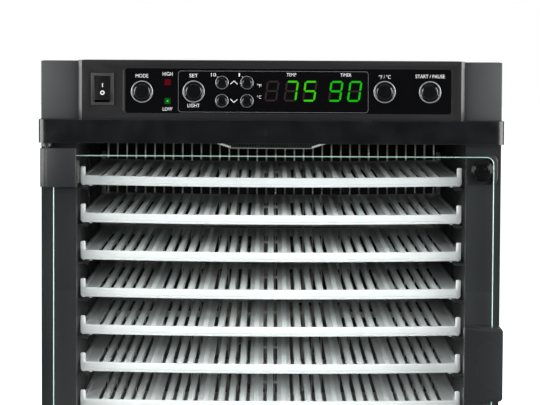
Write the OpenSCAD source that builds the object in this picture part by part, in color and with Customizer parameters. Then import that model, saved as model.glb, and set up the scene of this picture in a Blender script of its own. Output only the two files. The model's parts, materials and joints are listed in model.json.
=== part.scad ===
// Cabinet food dehydrator with eleven slide-in trays and a left-hinged glass door.
// Millimetres, +Z up, door facing -Y, origin under the middle of the cabinet at floor level.
// Places along the depth are given as distances behind the face of the control fascia.

/* [Cabinet] */
// Width over the side panels
cabinet_w = 434; // [431:1:435]
// Height from the floor to the top of the fascia
cabinet_h = 509; // [509:1:513]
// Depth from the face of the fascia to the outside of the back panel
cabinet_d = 432; // [432:1:436]
// Thickness of the sheet that forms the casing
sheet_t = 1.2; // [1.2:0.1:1.8]
// Height of the rubber feet
foot_h = 12; // [11:0.5:12]

/* [Header] */
// Height of the control header
header_h = 56; // [56:1:58]
// Width of the raised control fascia
fascia_w = 363; // [361:1:364]
// Width of the chamfer down each side of the fascia
chamfer = 3.2; // [2:0.2:3.4]
// Height of the trim band under the header
band_h = 22; // [20:1:22]
// How far the trim band stands out in front of the fascia
band_proud = 4; // [3:0.5:5]

/* [Cavity] */
// Width of the opening for the trays
cavity_w = 368; // [367:1:369]
// Height of the lower edge of the opening
cavity_z = 28; // [27:0.5:28]
// Distance of the frame's front from the face of the fascia
frame_y = 10; // [10:0.1:10.5]
// Distance of the wire grille from the face of the fascia
grille_y = 365; // [363:1:367]

/* [Trays] */
// Width of a tray
tray_w = 363; // [362:0.5:364]
// Depth of a tray
tray_d = 327; // [323:1:328]
// Height step from one tray to the next
tray_pitch = 35.7; // [35.5:0.1:35.7]
// Height of the lowest tray's underside
tray_z = 31.2; // [31.2:0.1:31.6]
// Height of a tray's front and back lips
lip_h = 9; // [8:0.5:10]
// Height of a tray's sides
side_h = 19.2; // [18:0.2:21]

/* [Door] */
// Thickness of the glass
glass_t = 5; // [4.6:0.1:5]
// Height of the glass's lower edge
glass_z = 24; // [24:0.1:24.4]
// Height of the glass
glass_h = 395.3; // [395:0.1:395.3]
// Radius of the glass's corners
glass_r = 7; // [5:0.5:9]
// Height of a hinge cap
cap_h = 36.7; // [34:0.1:36.7]
// Height of the door handle
handle_h = 69.4; // [60:0.1:75]
// How far the middle of the handle lies above the middle of the glass
handle_rise = 2.9; // [0:0.1:6]
// How far the handle stands out in front of the fascia
handle_reach = 16; // [14:1:18]

/* [Fan] */
// Radius of the fan
fan_r = 80; // [74:1:82]
// Number of blades
blades = 7; // [5:1:9]

/* [Hidden] */
$fn = 48;
round_fn = 96;
tray_count = 11;

function two_digit(i) = str(i < 10 ? "0" : "", i);
tray_nodes = [for (i = [1 : tray_count]) str("tray_", two_digit(i))];

// Push buttons: node, centre across and up, radius of the button, radius of its ring
large_r = 8;
small_r = 4.5;
small_ring_r = 6.25;
button_list = [
    ["button_mode", -121.8, 479.4, large_r, 10.35],
    ["button_set_light", -73.2, 479.7, large_r, 10.5],
    ["button_unit", 106.2, 480.1, large_r, 10.35],
    ["button_start_pause", 148.8, 480.1, large_r, 11.2],
    ["button_tens_up", -46.7, 488.3, small_r, small_ring_r],
    ["button_tens_down", -46.7, 471.2, small_r, small_ring_r],
    ["button_ones_up", -23.2, 488.3, small_r, small_ring_r],
    ["button_ones_down", -23.2, 471.2, small_r, small_ring_r],
];
button_nodes = [for (b = button_list) b[0]];

// Colours
case_black = [0.09, 0.09, 0.1];
header_black = [0.13, 0.13, 0.14];
deep_black = [0.04, 0.04, 0.045];
gloss_black = [0.02, 0.02, 0.025];
tray_white = [0.93, 0.95, 0.94];
glass_green = [0.75, 0.92, 0.86, 0.3];
steel = [0.72, 0.72, 0.7];
board_green = [0.06, 0.3, 0.16];
ring_grey = [0.7, 0.74, 0.75];
lens_white = [0.92, 0.95, 0.96, 0.8];

// Depth frame
gland_reach = 12;
face_y = handle_reach - (handle_reach + cabinet_d + gland_reach) / 2;
back_t = 2;
back_y = cabinet_d - back_t;

// Cabinet
half_w = cabinet_w / 2;
inner_half_w = half_w - sheet_t;
header_z = cabinet_h - header_h;
band_z = header_z - band_h;
frame_t = 12;
frame_back = frame_y + frame_t;
cheek_y = 6;
cheek_top = cabinet_h - 1;
header_back = 40;
header_wall = 2;
cover_top = cabinet_h - 7;
seam = 0.5;
flange_w = 12;

// Cavity
cavity_half = cavity_w / 2;
cavity_top = band_z + 2;
liner_t = 1.2;
chamber_back = cabinet_d - 23;
ledge_t = 2.5;
ledge_in = 9;
rib_in = 1.6;
rib_w = 8;
rib_places = [170, 320];

// Trays
tray_front = 30;
tray_back = tray_front + tray_d;
tray_half = tray_w / 2;
tray_wall = 4.6;
tray_lip_t = 4;
tray_floor_z = 5;
tray_floor_t = 2.5;
tray_foot_x = 171.7;
tray_foot = 3;
slot_w = 3.4;
slot_pitch = 21.4;
slot_count = 17;
bar_w = 14;
slot_end = 6;

// Header details
fascia_t = 3;
fascia_back = 30;
fascia_half = fascia_w / 2;
window_x = [-137.6, 169];
window_z = [459.2, 501.5];
window_t = 1.5;
window_r = 3;
window_rim = 2.6;
switch_x = -158.8;
switch_z = 481.7;
switch_bezel = [21.5, 30];
switch_box = [18.8, 28.4];
switch_well = [15.2, 25];
switch_proud = 1.6;
switch_depth = 24;
rocker_w = 15;
rocker_pivot_y = 4.2;
rocker_rise = 5.2;
rocker_half_h = 11.3;
rocker_tilt = 9;
axle_r = 1.4;
running = 0.05;
ring_proud = 1.2;
barrel_t = 0.9;
button_proud = 0.7;
button_back = 3.2;
button_stem_back = 6.3;
board_y = 12;
board_t = 1.6;
board_post_r = 1.7;
board_post_x = [window_x[0] + 12, window_x[1] - 12];
board_post_z = [window_z[0] - 1.9, window_z[1] + 1.9];
led_size = 6.5;
led_x = -97.7;
led_z = [488.3, 470.7];
display_x = [-9, 88];
display_z = [468, 493];

// Door
door_x = [-205.2, 209.8];
hinge_x = -211.5;
hinge_y = 2;
barrel_r = 6.1;
pin_r = 2;
cap_x1 = -183.5;
cap_front = -5;
cap_back = 9;
cap_drop = -6.7;
ear_gap = 1.5;
ear_t = 3;
pin_in_cap = 22;
clamp_t = 1.5;
clamp_h = 21;
clamp_x1 = -180.6;
knob_x = 198.7;
knob_r = 10.5;
knob_in = 12.7;
knob_rise = 5.5;
stem_r = 3.9;
pad_x = [183.2, 213.7];
pad_in = [-1.8, 26.4];
pad_back = frame_y - 0.5;
strike_x = [187, 210];
strike_in = [3, 23];
strike_t = 1.5;
handle_x = [182, 218.5];
handle_r = 3.6;
handle_clip_x = 195;
glass_top = glass_z + glass_h;
glass_mid = glass_z + glass_h / 2;
handle_z = glass_mid + handle_rise - handle_h / 2;

// Fan chamber
fan_z = 226;
shroud_t = 2;
duct_r = fan_r + 8;
duct_t = 2.5;
duct_front = chamber_back - 28;
rotor_y = [duct_front + 4, chamber_back - 5];
shaft_r = 3;
motor_r = 28;
heater_r = 84;
heater_wire_r = 3.2;
heater_y = duct_front - 7;
heater_leg_r = 104;

// A block from its extents across, behind the fascia's face, and up
module block(x, y, z) {
    translate([x[0], face_y + y[0], z[0]])
        cube([x[1] - x[0], y[1] - y[0], z[1] - z[0]]);
}

// The same block on both sides of the middle plane
module block_pair(x, y, z) {
    block(x, y, z);
    block([-x[1], -x[0]], y, z);
}

// A cylinder along the depth
module rod_y(x, z, r, y) {
    translate([x, face_y + y[0], z])
        rotate([-90, 0, 0])
            cylinder(r = r, h = y[1] - y[0], $fn = round_fn);
}

// A plate facing the front, with its four corners rounded
module round_plate(x, y, z, r) {
    block([x[0] + r, x[1] - r], y, z);
    block(x, y, [z[0] + r, z[1] - r]);
    for (cx = [x[0] + r, x[1] - r], cz = [z[0] + r, z[1] - r])
        rod_y(cx, cz, r, y);
}

// Children at the top and bottom of the door, the lower ones mirrored
module at_door_ends() {
    children();
    translate([0, 0, 2 * glass_mid])
        mirror([0, 0, 1])
            children();
}

// Casing

foot_x = 190;
foot_y = [45, cabinet_d - 35];
foot_r = 15;
foot_stud_r = 3;

module each_foot() {
    for (x = [-foot_x, foot_x], y = foot_y)
        translate([x, face_y + y, 0])
            children();
}

module base_pan() {
    color(case_black)
        difference() {
            union() {
                block([-inner_half_w, inner_half_w], [frame_back, back_y], [foot_h, foot_h + sheet_t]);
                block_pair([inner_half_w - sheet_t, inner_half_w], [frame_back, back_y],
                    [foot_h, foot_h + flange_w]);
            }
            each_foot()
                cylinder(r = foot_stud_r, h = 2 * foot_h);
        }
}

module feet() {
    color(deep_black)
        each_foot() {
            cylinder(r1 = foot_r - 2, r2 = foot_r, h = foot_h);
            cylinder(r = foot_stud_r, h = foot_h + 4);
        }
}

module side_panel() {
    side = [inner_half_w, half_w];
    block(side, [frame_back, back_y], [foot_h, header_z]);
    block(side, [header_back, back_y], [header_z, cover_top]);
    difference() {
        block([inner_half_w - flange_w, inner_half_w], [back_y - sheet_t, back_y],
            [foot_h + flange_w + 2, cover_top - flange_w]);
        for (z = screw_z)
            rod_y(screw_x, z, screw_r, [back_y - flange_w, back_y + 1]);
    }
}

module right_side_panel() {
    color(case_black) side_panel();
}

module left_side_panel() {
    color(case_black) mirror([1, 0, 0]) side_panel();
}

module top_cover() {
    cover_half = inner_half_w - seam;
    color(case_black) {
        block([-cover_half, cover_half], [fascia_back + 2, back_y], [cover_top - sheet_t, cover_top]);
        block_pair([cover_half - sheet_t, cover_half], [header_back + 4, back_y - 4],
            [cover_top - flange_w + 1, cover_top - sheet_t]);
    }
}

vent_w = 62;
vent_h = 4;
vent_pitch = 10;
vent_rows = 9;
vent_x = [-80, 0, 80];
gland_x = 150;
gland_z = 62;
gland_r = 8;
gland_flange_r = 12;
cord_bore_r = 3.6;
screw_r = 1.8;
screw_head_r = 4;
screw_head_h = 2;
screw_l = 7;
screw_x = 207;
screw_z = [40, 256, 473];

module back_panel() {
    color(case_black)
        difference() {
            block([-half_w, half_w], [back_y, cabinet_d], [foot_h, cover_top]);
            for (x = vent_x, row = [0 : vent_rows - 1]) {
                z = fan_z + (row - (vent_rows - 1) / 2) * vent_pitch;
                block([x - vent_w / 2, x + vent_w / 2], [back_y - 1, cabinet_d + 1], [z, z + vent_h]);
            }
            rod_y(gland_x, gland_z, gland_r, [back_y - 1, cabinet_d + 1]);
            for (x = [-screw_x, screw_x], z = screw_z)
                rod_y(x, z, screw_r, [back_y - 1, cabinet_d + 1]);
        }
}

module cord_gland() {
    color(deep_black)
        difference() {
            union() {
                rod_y(gland_x, gland_z, gland_r, [back_y - 8, cabinet_d]);
                rod_y(gland_x, gland_z, gland_flange_r, [cabinet_d, cabinet_d + 3]);
                rod_y(gland_x, gland_z, gland_r - 1, [cabinet_d + 3, cabinet_d + gland_reach]);
            }
            rod_y(gland_x, gland_z, cord_bore_r, [back_y - 9, cabinet_d + gland_reach + 1]);
        }
}

module case_screws() {
    color(steel)
        for (x = [-screw_x, screw_x], z = screw_z) {
            rod_y(x, z, screw_head_r, [cabinet_d, cabinet_d + screw_head_h]);
            rod_y(x, z, screw_r, [cabinet_d - screw_l, cabinet_d]);
        }
}

module front_frame() {
    color(case_black)
        difference() {
            union() {
                block_pair([cavity_half, half_w], [frame_y, frame_back], [foot_h, header_z]);
                block([-cavity_half, cavity_half], [frame_y, frame_back], [foot_h, cavity_z]);
                block([-cavity_half, cavity_half], [frame_y, frame_back], [cavity_top, header_z]);
                at_door_ends()
                    hinge_ear();
            }
            at_door_ends() {
                translate([hinge_x, face_y + hinge_y, glass_top])
                    cylinder(r = pin_r, h = 2 * flange_w);
                block(strike_x, [frame_y - 1, frame_y + strike_t],
                    [glass_top - strike_in[1], glass_top - strike_in[0]]);
            }
        }
}

// The lug over a hinge cap that holds the pin
module hinge_ear() {
    ear_z = glass_top - cap_drop + ear_gap;
    ear_half = barrel_r - 1.1;
    block([hinge_x - ear_half, hinge_x + ear_half], [hinge_y, frame_y], [ear_z, ear_z + ear_t]);
    translate([hinge_x, face_y + hinge_y, ear_z])
        cylinder(r = ear_half, h = ear_t);
}

module hinge_pins() {
    color(steel)
        at_door_ends()
            translate([hinge_x, face_y + hinge_y, glass_top - cap_drop - pin_in_cap])
                cylinder(r = pin_r, h = pin_in_cap + ear_gap + ear_t);
}

module strike_plates() {
    color(steel)
        at_door_ends()
            block(strike_x, [frame_y, frame_y + strike_t],
                [glass_top - strike_in[1], glass_top - strike_in[0]]);
}

// Header

module header_housing() {
    inner = fascia_half - fascia_t - seam;
    color(header_black) {
        block_pair([inner, half_w], [cheek_y, cheek_y + header_wall], [header_z, cheek_top]);
        block_pair([half_w - header_wall, half_w], [cheek_y + header_wall, header_back],
            [header_z, cheek_top]);
        block_pair([inner, half_w - header_wall], [cheek_y + header_wall, header_back],
            [cheek_top - header_wall, cheek_top]);
        block([-inner, inner], [fascia_back + seam, header_back], [cheek_top - header_wall, cheek_top]);
        block([-half_w + header_wall, half_w - header_wall], [header_back - header_wall, header_back],
            [cover_top, cheek_top - header_wall]);
    }
}

module fascia_section() {
    inner = fascia_half - fascia_t;
    polygon([
        [-fascia_half, cheek_y], [-fascia_half, chamfer], [chamfer - fascia_half, 0],
        [fascia_half - chamfer, 0], [fascia_half, chamfer], [fascia_half, cheek_y],
        [inner, cheek_y], [inner, fascia_t], [-inner, fascia_t], [-inner, cheek_y]]);
}

module control_fascia() {
    lip = fascia_half - fascia_t - 2 * seam;
    color(header_black)
        difference() {
            union() {
                translate([0, face_y, header_z])
                    linear_extrude(height = cabinet_h - header_z)
                        fascia_section();
                block([-lip, lip], [fascia_t, fascia_back], [cabinet_h - fascia_t, cabinet_h]);
                block([-lip, lip], [fascia_t, fascia_back], [header_z, header_z + header_wall]);
                for (x = board_post_x, z = board_post_z)
                    rod_y(x, z, board_post_r, [fascia_t, board_y]);
            }
            round_plate(window_x, [-1, window_t], window_z, window_r);
            block([window_x[0] + window_rim, window_x[1] - window_rim], [0, fascia_t + 1],
                [window_z[0] + window_rim, window_z[1] - window_rim]);
            switch_block(switch_box, [-1, fascia_t + 1]);
        }
}

module display_window() {
    color(gloss_black)
        difference() {
            round_plate(window_x, [0, window_t], window_z, window_r);
            for (b = button_list)
                rod_y(b[1], b[2], b[3] + running + barrel_t, [-1, window_t + 1]);
        }
}

module trim_band() {
    reach = half_w + 2;
    corner = 7;
    side_back = 44;
    wall = 2;
    color(case_black) {
        difference() {
            union() {
                block([corner - reach, reach - corner], [-band_proud, frame_y], [band_z, header_z]);
                block([-reach, reach], [corner - band_proud, frame_y], [band_z, header_z]);
                for (s = [-1, 1])
                    translate([s * (reach - corner), face_y + corner - band_proud, band_z])
                        cylinder(r = corner, h = band_h, $fn = round_fn);
            }
            block([corner - reach, reach - corner], [3 - band_proud, frame_y + 1],
                [band_z + 3, header_z - 3]);
        }
        block_pair([half_w, reach], [frame_y, side_back], [band_z, header_z]);
    }
}

// A block on the switch's axis, of a given width and height
module switch_block(size, y) {
    block([switch_x - size[0] / 2, switch_x + size[0] / 2], y,
        [switch_z - size[1] / 2, switch_z + size[1] / 2]);
}

module switch_axle(r, reach) {
    translate([switch_x - reach, face_y + rocker_pivot_y, switch_z])
        rotate([0, 90, 0])
            cylinder(r = r, h = 2 * reach);
}

module switch_body() {
    color(gloss_black)
        difference() {
            union() {
                switch_block(switch_bezel, [-switch_proud, 0]);
                switch_block(switch_box, [0, switch_depth]);
                for (s = [-1, 1])
                    translate([s * 5, 0, 0])
                        switch_block([0.8, 6.4], [switch_depth, switch_depth + 6]);
            }
            switch_block(switch_well, [-switch_proud - 1, 14]);
            switch_axle(axle_r + running, switch_box[0] / 2 + 1);
        }
}

// Side view of the rocker in its level position: x is forward of the axle, y is up
module rocker_section() {
    end_rise = rocker_rise + rocker_half_h * tan(rocker_tilt);
    polygon([
        [rocker_rise, 0], [end_rise, rocker_half_h], [1.5, 9.6], [-3.2, 3.6],
        [-3.2, -3.6], [1.5, -9.6], [end_rise, -rocker_half_h]]);
}

module switch_rocker() {
    color(gloss_black)
        union() {
            translate([switch_x + rocker_w / 2, face_y + rocker_pivot_y, switch_z])
                rotate([-rocker_tilt, 0, 0])
                    rotate([0, -90, 0])
                        linear_extrude(height = rocker_w)
                            rotate(-90)
                                rocker_section();
            switch_axle(axle_r, switch_box[0] / 2 - 0.2);
        }
}

module button_bezels() {
    color(ring_grey)
        for (b = button_list)
            difference() {
                union() {
                    rod_y(b[1], b[2], b[4], [-ring_proud, 0]);
                    rod_y(b[1], b[2], b[3] + running + barrel_t, [0, fascia_t]);
                }
                rod_y(b[1], b[2], b[3] + running, [-ring_proud - 1, fascia_t + 1]);
            }
}

module push_button(b) {
    edge = 0.6;
    color(gloss_black)
        translate([b[1], face_y, b[2]])
            rotate([-90, 0, 0])
                rotate_extrude($fn = round_fn)
                    polygon([
                        [0, -button_proud], [b[3] - edge, -button_proud], [b[3], edge - button_proud],
                        [b[3], button_back], [b[3] + barrel_t, button_back],
                        [b[3] + barrel_t, button_back + 1], [2.5, button_back + 1],
                        [2.5, button_stem_back], [0, button_stem_back]]);
}

module control_board() {
    tact = 6;
    tact_h = 4;
    color(board_green) {
        block([window_x[0] + 3, window_x[1] - 3], [board_y, board_y + board_t],
            [window_z[0] - 3, window_z[1] + 3]);
        for (b = button_list)
            block([b[1] - tact / 2, b[1] + tact / 2], [board_y - tact_h, board_y],
                [b[2] - tact / 2, b[2] + tact / 2]);
    }
}

module display_module() {
    color(gloss_black)
        block(display_x, [window_t + 0.2, board_y], display_z);
}

module status_leds() {
    colours = ["red", "lime"];
    for (i = [0 : 1])
        color(colours[i])
            block([led_x - led_size / 2, led_x + led_size / 2], [window_t + 0.1, board_y],
                [led_z[i] - led_size / 2, led_z[i] + led_size / 2]);
}

// Mains board on spacers above the cavity's ceiling, with a transformer and capacitors
module power_board() {
    board_x = [40, 180];
    board_depth = [90, 190];
    spacer_in = 6;
    spacer_h = 4;
    base = cavity_top + liner_t + spacer_h;
    top = base + board_t;
    color(board_green) {
        block(board_x, board_depth, [base, top]);
        for (x = [board_x[0] + spacer_in, board_x[1] - spacer_in],
             y = [board_depth[0] + spacer_in, board_depth[1] - spacer_in])
            translate([x, face_y + y, base - spacer_h])
                cylinder(r = 3, h = spacer_h);
    }
    color("gold")
        block([60, 95], [110, 140], [top, top + 28]);
    color("dimgray")
        for (i = [0 : 2])
            translate([115 + 20 * i, face_y + 125, top])
                cylinder(r = 8, h = 25);
}

// Cavity

function tray_base(i) = tray_z + (tray_count - i) * tray_pitch;

module side_liner() {
    color(deep_black) {
        block([cavity_half, cavity_half + liner_t], [frame_back, chamber_back], [cavity_z, cavity_top]);
        for (i = [1 : tray_count])
            block([cavity_half - ledge_in, cavity_half], [tray_front + 2, tray_back - 2],
                [tray_base(i) - ledge_t, tray_base(i)]);
        for (y = rib_places, i = [1 : tray_count])
            block([cavity_half - rib_in, cavity_half], [y, y + rib_w],
                [tray_base(i), tray_base(i) + tray_pitch - ledge_t - 6]);
    }
}

module liner_right() {
    side_liner();
}

module liner_left() {
    mirror([1, 0, 0]) side_liner();
}

lamp_y = 150;
lamp_half = 55;
lamp_half_d = 18;
lamp_z = cavity_top - 12.5;
lamp_hole = [46, 12];

module liner_top() {
    color(deep_black)
        difference() {
            block([-cavity_half, cavity_half], [frame_back, chamber_back],
                [cavity_top, cavity_top + liner_t]);
            block([-lamp_hole[0], lamp_hole[0]], [lamp_y - lamp_hole[1], lamp_y + lamp_hole[1]],
                [cavity_top - 1, cavity_top + liner_t + 1]);
        }
}

module liner_floor() {
    color(deep_black)
        block([-cavity_half, cavity_half], [frame_back, chamber_back], [cavity_z - liner_t, cavity_z]);
}

// The lens's outline from the front, drawn in from its outer face by an inset
module lens_prism(inset, top) {
    half = lamp_half - inset;
    half_d = lamp_half_d - inset;
    flat_half = 40;
    shoulder_z = lamp_z + 5;
    translate([0, face_y + lamp_y + half_d, 0])
        rotate([90, 0, 0])
            linear_extrude(height = 2 * half_d)
                polygon([
                    [-half, top], [-half, shoulder_z], [-flat_half, lamp_z + inset],
                    [flat_half, lamp_z + inset], [half, shoulder_z], [half, top]]);
}

module lamp_lens() {
    lens_t = 1.5;
    color(lens_white)
        difference() {
            lens_prism(0, cavity_top);
            lens_prism(lens_t, cavity_top + 1);
        }
}

module lamp_board() {
    lift = cavity_top + liner_t;
    lamp_count = 6;
    lamp_pitch = 14;
    color(board_green)
        block([-lamp_hole[0] - 4, lamp_hole[0] + 4], [lamp_y - lamp_hole[1] - 4, lamp_y + lamp_hole[1] + 4],
            [lift, lift + board_t]);
    color("white")
        for (i = [0 : lamp_count - 1]) {
            x = (i - (lamp_count - 1) / 2) * lamp_pitch;
            block([x - 2.5, x + 2.5], [lamp_y - 2.5, lamp_y + 2.5], [lift - 1.6, lift]);
        }
}

wire_count = 36;
wire_pitch = 10;
wire_r = 0.9;
rail_d = 4;
rail_h = 6;
rail_gap = 0.4;

module rear_grille() {
    low = cavity_z + 0.5;
    high = cavity_top - 0.5;
    half = cavity_half - 1;
    rails = [low, 128, fan_z + 2, 326, high - rail_h];
    color("gainsboro") {
        for (i = [0 : wire_count - 1])
            translate([(i - (wire_count - 1) / 2) * wire_pitch, face_y + grille_y, low + 1])
                cylinder(r = wire_r, h = high - low - 2, $fn = 16);
        for (z = rails)
            block([-half, half], [grille_y + wire_r - rail_gap, grille_y + wire_r - rail_gap + rail_d],
                [z, z + rail_h]);
    }
}

module fan_shroud() {
    color(deep_black)
        difference() {
            union() {
                block([-cavity_half, cavity_half], [chamber_back, chamber_back + shroud_t],
                    [cavity_z, cavity_top]);
                rod_y(0, fan_z, duct_r + duct_t, [duct_front, chamber_back]);
            }
            rod_y(0, fan_z, duct_r, [duct_front - 1, chamber_back]);
            rod_y(0, fan_z, shaft_r + 3, [duct_front, chamber_back + shroud_t + 1]);
        }
}

module fan_motor() {
    body_y = [chamber_back + shroud_t, back_y - 3];
    color("dimgray") {
        rod_y(0, fan_z, motor_r, body_y);
        rod_y(0, fan_z, shaft_r + 2, [chamber_back - 3, body_y[0]]);
        rod_y(0, fan_z, shaft_r, [rotor_y[0] - 2, chamber_back - 3]);
    }
}

module fan_rotor() {
    hub_r = 16;
    blade_chord = 15;
    blade_t = 1.6;
    blade_pitch = 35;
    mid_y = (rotor_y[0] + rotor_y[1]) / 2;
    color("silver")
        difference() {
            union() {
                rod_y(0, fan_z, hub_r, rotor_y);
                for (i = [0 : blades - 1])
                    translate([0, face_y + mid_y, fan_z])
                        rotate([0, i * 360 / blades, 0])
                            translate([hub_r - 2, 0, 0])
                                rotate([blade_pitch, 0, 0])
                                    translate([0, -blade_t / 2, -blade_chord])
                                        cube([fan_r - hub_r, blade_t, 2 * blade_chord]);
            }
            rod_y(0, fan_z, shaft_r + running, [rotor_y[0] - 1, rotor_y[1] + 1]);
        }
}

module heater_element() {
    leg_z = 12;
    link_r = 2.4;
    post_r = 4;
    color("rosybrown") {
        translate([0, face_y + heater_y, fan_z])
            rotate([-90, 0, 0])
                rotate_extrude($fn = round_fn)
                    translate([heater_r, 0])
                        circle(r = heater_wire_r, $fn = 24);
        for (z = [fan_z - leg_z, fan_z + leg_z]) {
            translate([heater_r, face_y + heater_y, z])
                rotate([0, 90, 0])
                    cylinder(r = link_r, h = heater_leg_r - heater_r);
            rod_y(heater_leg_r, z, post_r, [heater_y - post_r, chamber_back]);
        }
    }
}

module thermal_cutout() {
    cutout_x = 70;
    cutout_y = duct_front + 10;
    body_r = 8;
    body_h = 6;
    color(deep_black)
        translate([cutout_x, face_y + cutout_y, cavity_top - body_h]) {
            cylinder(r = body_r, h = body_h);
            translate([0, 0, -2])
                cylinder(r = body_r - 3, h = 3);
        }
}

module temperature_sensor() {
    probe_z = 300;
    probe_r = 2.4;
    probe_l = 30;
    color(steel)
        translate([cavity_half, face_y + heater_y, probe_z])
            rotate([0, -90, 0]) {
                cylinder(r = probe_r, h = probe_l);
                cylinder(r = 2 * probe_r, h = 4);
            }
}

// A tray, counted from the top; its slots run front to back in two rows
module tray(i) {
    z = tray_base(i);
    inner = tray_half - tray_wall;
    slot_l = (tray_d - 2 * tray_lip_t - bar_w - 2 * slot_end) / 2;
    floor_front = tray_front + tray_lip_t;
    color(tray_white)
        difference() {
            union() {
                block_pair([inner, tray_half], [tray_front, tray_back], [z, z + side_h]);
                for (y = [tray_front, tray_back - tray_lip_t])
                    block([-inner, inner], [y, y + tray_lip_t], [z, z + lip_h]);
                block([-inner, inner], [floor_front, tray_back - tray_lip_t],
                    [z + tray_floor_z, z + tray_floor_z + tray_floor_t]);
                for (y = [tray_front + 1, tray_back - tray_foot - 1])
                    block_pair([tray_foot_x - tray_foot / 2, tray_foot_x + tray_foot / 2],
                        [y, y + tray_foot], [z - tray_foot / 2, z]);
            }
            for (y = [floor_front + slot_end, floor_front + slot_end + slot_l + bar_w],
                 k = [0 : slot_count - 1]) {
                x = (k - (slot_count - 1) / 2) * slot_pitch;
                block([x - slot_w / 2, x + slot_w / 2], [y, y + slot_l],
                    [z + tray_floor_z - 1, z + tray_floor_z + tray_floor_t + 1]);
            }
        }
}

// Door

module door_glass() {
    color(glass_green)
        difference() {
            round_plate(door_x, [0, glass_t], [glass_z, glass_top], glass_r);
            at_door_ends()
                rod_y(knob_x, glass_top - knob_in, stem_r + running, [-1, glass_t + 1]);
        }
}

// Height span of the upper hinge cap
cap_z = [glass_top - cap_drop - cap_h, glass_top - cap_drop];
clamp_z = [cap_z[0] + 4, cap_z[0] + 4 + clamp_h];

module hinge_caps() {
    color(case_black)
        at_door_ends()
            difference() {
                union() {
                    block([hinge_x, cap_x1], [cap_front, cap_back], cap_z);
                    translate([hinge_x, face_y + hinge_y, cap_z[0]])
                        cylinder(r = barrel_r, h = cap_h, $fn = round_fn);
                }
                translate([hinge_x, face_y + hinge_y, cap_z[1] - pin_in_cap - 1])
                    cylinder(r = pin_r + running, h = pin_in_cap + 2);
                block([door_x[0], cap_x1 + 1], [0, glass_t], [cap_z[0] - 1, glass_top]);
                block([door_x[0] - clamp_t, cap_x1 + 1], [-clamp_t, glass_t + clamp_t], clamp_z);
            }
}

module hinge_clamps() {
    color(steel)
        at_door_ends() {
            block([door_x[0] - clamp_t, door_x[0]], [-clamp_t, glass_t + clamp_t], clamp_z);
            for (y = [-clamp_t, glass_t])
                block([door_x[0], clamp_x1], [y, y + clamp_t], clamp_z);
        }
}

module door_handle() {
    z = [handle_z, handle_z + handle_h];
    color(gloss_black)
        union() {
            round_plate(handle_x, [-handle_reach, 0], z, handle_r);
            block([door_x[1], handle_x[1]], [0, glass_t], [z[0] + handle_r, z[1] - handle_r]);
            round_plate([handle_clip_x, handle_x[1]], [glass_t, cap_back], z, handle_r);
        }
}

module magnet_pads() {
    z = [glass_top - pad_in[1], glass_top - pad_in[0]];
    color(case_black)
        at_door_ends()
            difference() {
                round_plate(pad_x, [glass_t, pad_back], z, 6);
                rod_y(knob_x, glass_top - knob_in, stem_r, [glass_t - 1, pad_back - 1.5]);
            }
}

module magnet_knobs() {
    sphere_r = (knob_r * knob_r + knob_rise * knob_rise) / (2 * knob_rise);
    color(gloss_black)
        at_door_ends() {
            translate([knob_x, face_y, glass_top - knob_in])
                rotate([90, 0, 0])
                    rotate_extrude($fn = round_fn)
                        intersection() {
                            translate([0, knob_rise - sphere_r])
                                circle(r = sphere_r, $fn = round_fn);
                            square([knob_r, knob_rise]);
                        }
            rod_y(knob_x, glass_top - knob_in, stem_r, [0, pad_back - 1.5]);
        }
}

base_pan();
left_side_panel();
right_side_panel();
top_cover();
back_panel();
front_frame();
header_housing();
control_fascia();
display_window();
trim_band();
liner_left();
liner_right();
liner_top();
liner_floor();
rear_grille();
lamp_lens();
lamp_board();
fan_shroud();
fan_motor();
heater_element();
thermal_cutout();
temperature_sensor();
control_board();
display_module();
status_leds();
power_board();
switch_body();
button_bezels();
feet();
cord_gland();
case_screws();
hinge_pins();
strike_plates();
switch_rocker();
fan_rotor();
door_glass();
hinge_caps();
hinge_clamps();
door_handle();
magnet_pads();
magnet_knobs();
for (b = button_list)
    push_button(b);
for (i = [1 : tray_count])
    tray(i);
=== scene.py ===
import json
import math

import bmesh
import bpy
from mathutils import Matrix, Vector

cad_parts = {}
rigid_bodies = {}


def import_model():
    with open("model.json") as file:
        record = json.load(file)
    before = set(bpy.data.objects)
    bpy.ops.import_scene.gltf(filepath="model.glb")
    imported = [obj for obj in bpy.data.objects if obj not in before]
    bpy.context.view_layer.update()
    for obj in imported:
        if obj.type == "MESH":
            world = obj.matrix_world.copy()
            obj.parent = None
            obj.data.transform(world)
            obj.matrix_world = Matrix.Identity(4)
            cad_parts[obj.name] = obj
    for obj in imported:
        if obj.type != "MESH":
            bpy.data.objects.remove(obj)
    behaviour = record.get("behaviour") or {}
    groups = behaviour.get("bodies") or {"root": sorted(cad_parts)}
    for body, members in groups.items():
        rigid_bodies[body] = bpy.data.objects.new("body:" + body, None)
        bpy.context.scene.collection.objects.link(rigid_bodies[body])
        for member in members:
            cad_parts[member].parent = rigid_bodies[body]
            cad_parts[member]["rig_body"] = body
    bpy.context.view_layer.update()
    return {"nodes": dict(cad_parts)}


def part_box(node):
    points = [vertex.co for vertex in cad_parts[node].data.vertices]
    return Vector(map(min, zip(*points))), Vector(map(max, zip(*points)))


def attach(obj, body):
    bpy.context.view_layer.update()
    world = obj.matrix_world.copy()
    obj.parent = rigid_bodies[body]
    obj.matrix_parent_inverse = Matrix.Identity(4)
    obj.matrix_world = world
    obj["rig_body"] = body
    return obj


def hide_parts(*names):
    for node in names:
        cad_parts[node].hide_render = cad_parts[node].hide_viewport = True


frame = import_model()
nodes = frame["nodes"]
scene = bpy.context.scene
mm = 0.001

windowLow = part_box("display_window")[0]  # lower left corner of the panel, on its face
print("frame loaded:", len(nodes), "nodes")


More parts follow.
